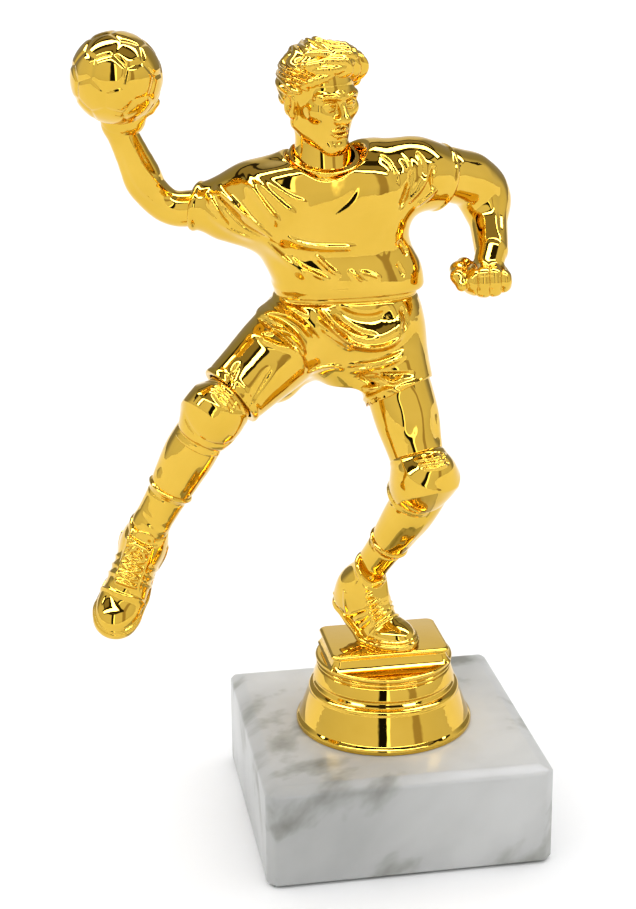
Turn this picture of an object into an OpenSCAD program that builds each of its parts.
// Figure trophy: a handball player on a stepped round plinth, bolted to a square marble base.
// Units are millimetres. The origin is the middle of the underside, +Z is up, -Y is the front.

/* [Marble base] */
// Side of the square base
base_w = 60; // [50:1:80]
// Height of the base with its felt pad
base_h = 22; // [18:1:30]
// Width of the chamfer round the top face
top_chamfer = 2.8; // [0:0.1:4]
// Width of the chamfer on the four upright edges
edge_chamfer = 1.8; // [0.5:0.1:4]
// Thickness of the felt pad
felt_t = 0.6; // [0.4:0.1:1]
// Distance from the base's edge to the felt pad
felt_inset = 1.5; // [1:0.5:4]

/* [Fixing] */
// Thread diameter of the fixing bolt
bolt_d = 6; // [5:1:6]
// Length of the bolt under its head
bolt_l = 25; // [24:1:26]
// Diameter of the recess for the bolt head
recess_d = 22; // [20:1:24]
// Depth of that recess in the base's underside
recess_h = 8; // [7.5:0.5:9]

/* [Plinth] */
// Radius of the plinth's foot
foot_r = 18.9; // [18:0.1:21]
// Height of the conical skirt
skirt_h = 8.8; // [8.5:0.1:10]
// Height of the drum above the skirt
drum_h = 6.6; // [6:0.1:8]
// Wall thickness of the hollow plinth
wall = 1.6; // [1.2:0.1:2]
// Length of the plate that the figure stands on
plate_l = 25.4; // [24:0.2:26]
// Width of that plate
plate_w = 17.2; // [14:0.2:18]
// Thickness of that plate
plate_t = 3.3; // [2.5:0.1:4]

/* [Figure] */
// Height of the figure from sole to crown
figure_h = 127; // [115:1:135]
// Diameter of the ball
ball_d = 17.6; // [16:0.2:19]

/* [Hidden] */

// Fasteners to the metric standard for a 6 mm thread
nut_flats = 10;
nut_h = 5;
head_flats = 10;
head_h = 4;
washer_d = 18;
washer_t = 1.6;
bolt_clearance = 0.5;
nut_clearance = 0.3;

plinth_z = base_h;
drum_z = plinth_z + skirt_h;
plate_z = drum_z + drum_h;
figure_z = plate_z + plate_t;
washer_z = felt_t + recess_h - washer_t;
nut_z = drum_z - nut_h;
boss_r = 8.5;
web_t = 2;
plate_corner_r = 1.2;

// Roundness of turned parts, and of the figure's limbs
$fn = 96;
limb_fn = 20;
finger_fn = 14;

// The figure is set out at 127 mm and scaled to its height.
k = figure_h / 127;

// Centres of the figure's joints, from the middle of the foot plate's top face
hip_support = k * [0, 0, 67];
knee_support = k * [5.5, -12, 40];
ankle_support = k * [-3, 4, 16];
heel_support = k * [-7, 5.5, 11];
instep_support = k * [-2.5, 1, 7.5];
toe_support = k * [4.3, -4.6, 3.2];
hip_swing = k * [-17, 0, 69];
knee_swing = k * [-36.5, -12, 56];
ankle_swing = k * [-50, -8, 31];
heel_swing = k * [-53.5, -4, 27];
toe_swing = k * [-57.5, -14, 17.5];
waist = k * [-7.5, 0, 76];
shoulder_throwing = k * [-28, 2, 98];
elbow_throwing = k * [-42, 8, 94.5];
wrist_throwing = k * [-51.5, 4, 110];
shoulder_guard = k * [8, 0, 99];
elbow_guard = k * [22.5, 6, 95.5];
wrist_guard = k * [21.5, -3, 84];
fist_guard = k * [18, -7.5, 79];
neck_foot = k * [-12.3, 0, 101];
skull = k * [-12.5, -1.5, 116];
chin = k * [-10.2, -5.5, 107];
ball_centre = k * [-51.8, -1, 120];
ball_r = k * ball_d / 2;

gold = "#d9a520";
steel = "#b9bcc2";

// ---- helpers ----

function mix(a, b, t) = a * (1 - t) + b * t;
function hex_r(flats) = flats / sqrt(3);

module hex_prism(flats, h) {
  cylinder(r = hex_r(flats), h = h, $fn = 6);
}

// A chain of rounded links through the points, each with its own radius
module limb(points, radii) {
  for (i = [0 : len(points) - 2])
    hull() {
      translate(points[i]) sphere(r = k * radii[i], $fn = limb_fn);
      translate(points[i + 1]) sphere(r = k * radii[i + 1], $fn = limb_fn);
    }
}

// One blended body round all the points
module body(points, radii) {
  hull()
    for (i = [0 : len(points) - 1])
      translate(points[i]) sphere(r = k * radii[i], $fn = limb_fn);
}

// A thin disc across the line from one point to another, for a flat hem or cuff
module hem(from, to, t, r) {
  run = to - from;
  translate(mix(from, to, t))
    rotate([0, acos(run.z / norm(run)), atan2(run.y, run.x)])
      cylinder(r = k * r, h = k * 0.4, center = true, $fn = limb_fn);
}

// A solid set on top of the plinth
module on_plate() {
  translate([0, 0, figure_z]) children();
}

// ---- base and fixing ----

// Plan of the base: a square with its corners cut off
module base_plan() {
  h = base_w / 2;
  c = h - edge_chamfer;
  polygon([[c, -h], [h, -c], [h, c], [c, h], [-c, h], [-h, c], [-h, -c], [-c, -h]]);
}

// Side view of the base with the chamfer round its top
module base_side() {
  h = base_w / 2;
  drop = top_chamfer * 0.45;
  polygon([[-h, felt_t], [h, felt_t], [h, base_h - drop], [h - top_chamfer, base_h],
    [top_chamfer - h, base_h], [-h, base_h - drop]]);
}

module marble_base() {
  color("#e9e8e4")
    difference() {
      intersection() {
        linear_extrude(base_h) base_plan();
        rotate([90, 0, 0]) translate([0, 0, -base_w]) linear_extrude(2 * base_w) base_side();
        rotate([90, 0, 90]) translate([0, 0, -base_w]) linear_extrude(2 * base_w) base_side();
      }
      cylinder(d = recess_d, h = felt_t + recess_h);
      cylinder(d = bolt_d + 2 * bolt_clearance, h = base_h + 1);
    }
}

module felt_pad() {
  side = base_w - 2 * felt_inset;
  color("#3c3f3d")
    translate([-side / 2, -side / 2, 0]) cube([side, side, felt_t]);
}

module fixing_washer() {
  color(steel)
    translate([0, 0, washer_z])
      difference() {
        cylinder(d = washer_d, h = washer_t);
        translate([0, 0, -1]) cylinder(d = bolt_d + 2 * bolt_clearance, h = washer_t + 2);
      }
}

module fixing_bolt() {
  color(steel)
    union() {
      translate([0, 0, washer_z - head_h]) hex_prism(head_flats, head_h);
      translate([0, 0, washer_z - 1]) cylinder(d = bolt_d, h = bolt_l + 1);
    }
}

module captive_nut() {
  color(steel)
    translate([0, 0, nut_z])
      difference() {
        hex_prism(nut_flats, nut_h);
        translate([0, 0, -1]) cylinder(d = bolt_d, h = nut_h + 2);
      }
}

// ---- plinth ----

// Half section of the skirt's outside: lip, cone and rounded shoulder
function skirt_outline() = [
  [0, 0], [foot_r, 0], [foot_r, 1], [foot_r - 0.5, 1.6], [foot_r - 2.7, skirt_h - 1.2],
  [foot_r - 3, skirt_h - 0.5], [foot_r - 3.6, skirt_h], [0, skirt_h]
];

module plinth_skirt() {
  shoulder_r = foot_r - 3.6;
  color(gold)
    translate([0, 0, plinth_z])
      difference() {
        rotate_extrude() polygon(skirt_outline());
        rotate_extrude()
          polygon([[boss_r, -1], [foot_r - wall, -1], [foot_r - wall, 1],
            [shoulder_r - wall, skirt_h - web_t], [boss_r, skirt_h - web_t]]);
        translate([0, 0, -1]) cylinder(d = bolt_d + 2 * bolt_clearance, h = skirt_h + 2);
        translate([0, 0, skirt_h - nut_h]) hex_prism(nut_flats + nut_clearance, nut_h + 1);
      }
}

// Half section of the drum's outside: cove, tapered wall and two beads under the plate
function drum_outline(r) = [
  [0, 0], [r, 0], [r - 0.3, 0.8], [r - 0.2, 1.7], [r - 1.2, 4.2], [r - 0.9, 4.7],
  [r - 1.2, 5.2], [r - 0.7, 5.7], [r - 0.6, drum_h - 0.4], [r - 0.9, drum_h], [0, drum_h]
];

module plinth_drum() {
  drum_r = foot_r - 3.7;
  cavity_r = drum_r - 1.2 - wall;
  color(gold)
    translate([0, 0, drum_z])
      difference() {
        rotate_extrude() polygon(drum_outline(drum_r));
        translate([0, 0, -1]) cylinder(r = cavity_r, h = drum_h - web_t + 1);
      }
}

module foot_plate() {
  l = plate_l / 2 - plate_corner_r;
  w = plate_w / 2 - plate_corner_r;
  color(gold)
    translate([0, 0, plate_z])
      linear_extrude(plate_t)
        union() {
          square([2 * l, plate_w], center = true);
          square([plate_l, 2 * w], center = true);
          for (x = [-l, l], y = [-w, w])
            translate([x, y]) circle(r = plate_corner_r);
        }
}

// ---- legs ----

module support_shoe_shape() {
  body([ankle_support, heel_support, instep_support], [4.6, 4.4, 4.5]);
  body([heel_support, instep_support, toe_support], [3.6, 4.4, 3.5]);
}

module support_sock_shape() {
  limb([mix(knee_support, ankle_support, 0.62), ankle_support], [4.4, 4.1]);
}

module support_knee_shape() {
  hull() {
    hem(knee_support, hip_support, 0.13, 5.6);
    translate(knee_support + k * [0.3, -0.8, 0]) sphere(r = k * 6.2, $fn = limb_fn);
    hem(knee_support, ankle_support, 0.24, 5.2);
  }
}

module swing_shoe_shape() {
  body([ankle_swing, heel_swing, toe_swing, mix(heel_swing, toe_swing, 0.6)], [4.3, 4.3, 4.9, 5]);
}

module swing_sock_shape() {
  limb([mix(knee_swing, ankle_swing, 0.62), ankle_swing], [4.3, 4]);
}

module swing_knee_shape() {
  hull() {
    hem(knee_swing, hip_swing, 0.1, 5);
    translate(knee_swing + k * [0, -0.8, 0]) sphere(r = k * 5.9, $fn = limb_fn);
    hem(knee_swing, ankle_swing, 0.25, 5.3);
  }
}

module support_shoe() {
  color(gold)
    difference() {
      on_plate() support_shoe_shape();
      translate([-base_w / 2, -base_w / 2, 0]) cube([base_w, base_w, figure_z]);
    }
}

module support_sock() {
  color(gold)
    on_plate()
      difference() {
        support_sock_shape();
        support_shoe_shape();
      }
}

module support_calf() {
  color(gold)
    on_plate()
      difference() {
        limb([mix(knee_support, ankle_support, 0.1), mix(knee_support, ankle_support, 0.35),
          mix(knee_support, ankle_support, 0.75)], [4.6, 5.1, 3.9]);
        support_knee_shape();
        support_sock_shape();
      }
}

module support_knee_pad() {
  color(gold)
    on_plate() support_knee_shape();
}

module support_thigh_shape() {
  limb([mix(knee_support, hip_support, 0.7) + k * [-0.5, 0, 0], mix(knee_support, hip_support, 0.1)],
    [6.6, 5.6]);
}

module support_thigh() {
  color(gold)
    on_plate()
      difference() {
        support_thigh_shape();
        support_knee_shape();
      }
}

module swing_shoe() {
  color(gold)
    on_plate() swing_shoe_shape();
}

module swing_sock() {
  color(gold)
    on_plate()
      difference() {
        swing_sock_shape();
        swing_shoe_shape();
      }
}

module swing_calf() {
  color(gold)
    on_plate()
      difference() {
        limb([mix(knee_swing, ankle_swing, 0.1), mix(knee_swing, ankle_swing, 0.35),
          mix(knee_swing, ankle_swing, 0.75)], [4.6, 5.3, 3.8]);
        swing_knee_shape();
        swing_sock_shape();
      }
}

module swing_knee_pad() {
  color(gold)
    on_plate() swing_knee_shape();
}

module swing_thigh_shape() {
  limb([mix(knee_swing, hip_swing, 0.55), mix(knee_swing, hip_swing, 0.1)], [5.5, 5.1]);
}

module swing_thigh() {
  color(gold)
    on_plate()
      difference() {
        swing_thigh_shape();
        swing_knee_shape();
      }
}

// ---- clothes ----

// Pelvis with a wide leg on each side
module shorts_shape() {
  pelvis = [waist + k * [-7, 1, -4], waist + k * [8, 0, -5]];
  body([pelvis[0], pelvis[1], hip_swing + k * [1, 0, -1], hip_support + k * [0, 0, -2]],
    [7.6, 8, 8, 8]);
  hull() {
    translate(hip_swing + k * [0, 0, -0.5]) sphere(r = k * 8.2, $fn = limb_fn);
    hem(hip_swing, knee_swing, 0.8, 6.9);
  }
  hull() {
    translate(hip_support) sphere(r = k * 8.4, $fn = limb_fn);
    hem(hip_support, knee_support, 0.42, 7.8);
  }
}

// Chest and back of the shirt, blousing over the waistband
module shirt_body_shape() {
  body([waist + k * [-7, 0, 4], waist + k * [6.5, 0, 4], k * [-20, 0, 95.5], k * [-15.5, 0, 88],
    k * [-0.5, 0, 99], k * [-1.5, 0, 88], neck_foot - k * [0, 0, 2]], [7.4, 7.9, 6.4, 7.4, 5.6, 7, 4.6]);
}

module throwing_sleeve_shape() {
  hull() {
    translate(k * [-20, 1, 96.5]) sphere(r = k * 6.2, $fn = limb_fn);
    translate(k * [-21.5, 1, 90]) sphere(r = k * 6.6, $fn = limb_fn);
    translate(k * [0, 0, -1.4]) hem(shoulder_throwing, elbow_throwing, 0.66, 5.2);
  }
}

module guard_sleeve_shape() {
  hull() {
    translate(k * [0, 0, 98.5]) sphere(r = k * 5.8, $fn = limb_fn);
    translate(k * [0, 0, -0.6]) hem(shoulder_guard, elbow_guard, 0.32, 6.1);
  }
}

module shorts() {
  color(gold)
    on_plate()
      difference() {
        shorts_shape();
        shirt_shape();
        support_thigh_shape();
        swing_thigh_shape();
      }
}

module shirt_shape() {
  shirt_body_shape();
  throwing_sleeve_shape();
  guard_sleeve_shape();
}

// The shirt, with a socket in each sleeve for its arm
module shirt() {
  color(gold)
    on_plate()
      difference() {
        shirt_shape();
        throwing_upper_arm_shape();
        guard_upper_arm_shape();
      }
}

// ---- arms and ball ----

module throwing_upper_arm_shape() {
  limb([mix(shoulder_throwing, elbow_throwing, 0.4), elbow_throwing], [4.3, 4.4]);
}

module throwing_forearm_shape() {
  limb([elbow_throwing, mix(elbow_throwing, wrist_throwing, 0.35), wrist_throwing], [4.4, 4.4, 3.7]);
}

module guard_upper_arm_shape() {
  limb([mix(shoulder_guard, elbow_guard, 0.1), elbow_guard], [4.6, 4.4]);
}

module guard_forearm_shape() {
  limb([elbow_guard, mix(elbow_guard, wrist_guard, 0.4), wrist_guard], [4.4, 4.1, 3.5]);
}

// Point on the ball's far side, by angle round the viewing axis and distance from it
function on_ball(turn, spread) =
  ball_centre + (ball_r + k * 0.8) * [sin(turn) * sin(spread), cos(spread), -cos(turn) * sin(spread)];

module throwing_arm() {
  color(gold)
    on_plate()
      difference() {
        union() {
          throwing_upper_arm_shape();
          throwing_forearm_shape();
        }
        translate(ball_centre) sphere(r = ball_r, $fn = 40);
      }
}

// Palm under and behind the ball, four fingers up its back and a thumb to the side
module throwing_hand() {
  color(gold)
    on_plate()
      difference() {
        union() {
          body([wrist_throwing + k * [0, 0.5, 1], on_ball(25, 55), on_ball(-25, 55), on_ball(180, 8)],
            [3.3, 2, 2, 2]);
          for (turn = [135, 165, 195, 225])
            hull() {
              translate(on_ball(turn, 10)) sphere(r = k * 1.4, $fn = finger_fn);
              translate(on_ball(turn, 48)) sphere(r = k * 1.1, $fn = finger_fn);
            }
          hull() {
            translate(on_ball(35, 35)) sphere(r = k * 1.6, $fn = finger_fn);
            translate(on_ball(80, 50)) sphere(r = k * 1.2, $fn = finger_fn);
          }
        }
        throwing_forearm_shape();
        translate(ball_centre) sphere(r = ball_r, $fn = 40);
      }
}

module ball() {
  color(gold)
    on_plate()
      translate(ball_centre) sphere(r = ball_r);
}

module guard_arm() {
  color(gold)
    on_plate() {
      guard_upper_arm_shape();
      guard_forearm_shape();
    }
}

// Closed fist with the thumb laid across the inner side
module guard_fist() {
  color(gold)
    on_plate()
      difference() {
        union() {
          body([wrist_guard, fist_guard + k * [3.2, 0, 0], fist_guard + k * [-0.5, 0, 0.5]],
            [3.2, 3.4, 3.4]);
          hull() {
            translate(fist_guard + k * [-1, 0, 2]) sphere(r = k * 1.6, $fn = finger_fn);
            translate(fist_guard + k * [-4.6, -1, 1.2]) sphere(r = k * 1.5, $fn = finger_fn);
          }
        }
        guard_forearm_shape();
      }
}

// ---- neck and head ----

module skull_shape() {
  body([skull, skull + k * [0, 2.5, -1], mix(skull, chin, 0.55), chin], [8.2, 8, 6.6, 3.6]);
}

module neck() {
  color(gold)
    on_plate()
      difference() {
        limb([neck_foot - k * [0, 0, 3], mix(skull, chin, 0.4)], [5.4, 4.8]);
        shirt_shape();
        skull_shape();
      }
}

module head() {
  color(gold)
    on_plate() skull_shape();
}

// Short hair combed to one side: a cap over the crown, sides and back
module hair() {
  color(gold)
    on_plate()
      difference() {
        body([skull + k * [-0.3, 1.5, 1.3], skull + k * [3.5, -2.5, 4], skull + k * [0, 4.5, -2]],
          [9, 5.4, 6.6]);
        skull_shape();
        translate(skull + k * [2, -11, -9]) cube(k * [24, 14, 24], center = true);
      }
}

marble_base();
felt_pad();
fixing_washer();
fixing_bolt();
captive_nut();
plinth_skirt();
plinth_drum();
foot_plate();
support_shoe();
support_sock();
support_calf();
support_knee_pad();
support_thigh();
swing_shoe();
swing_sock();
swing_calf();
swing_knee_pad();
swing_thigh();
shorts();
shirt();
neck();
head();
hair();
throwing_arm();
throwing_hand();
ball();
guard_arm();
guard_fist();
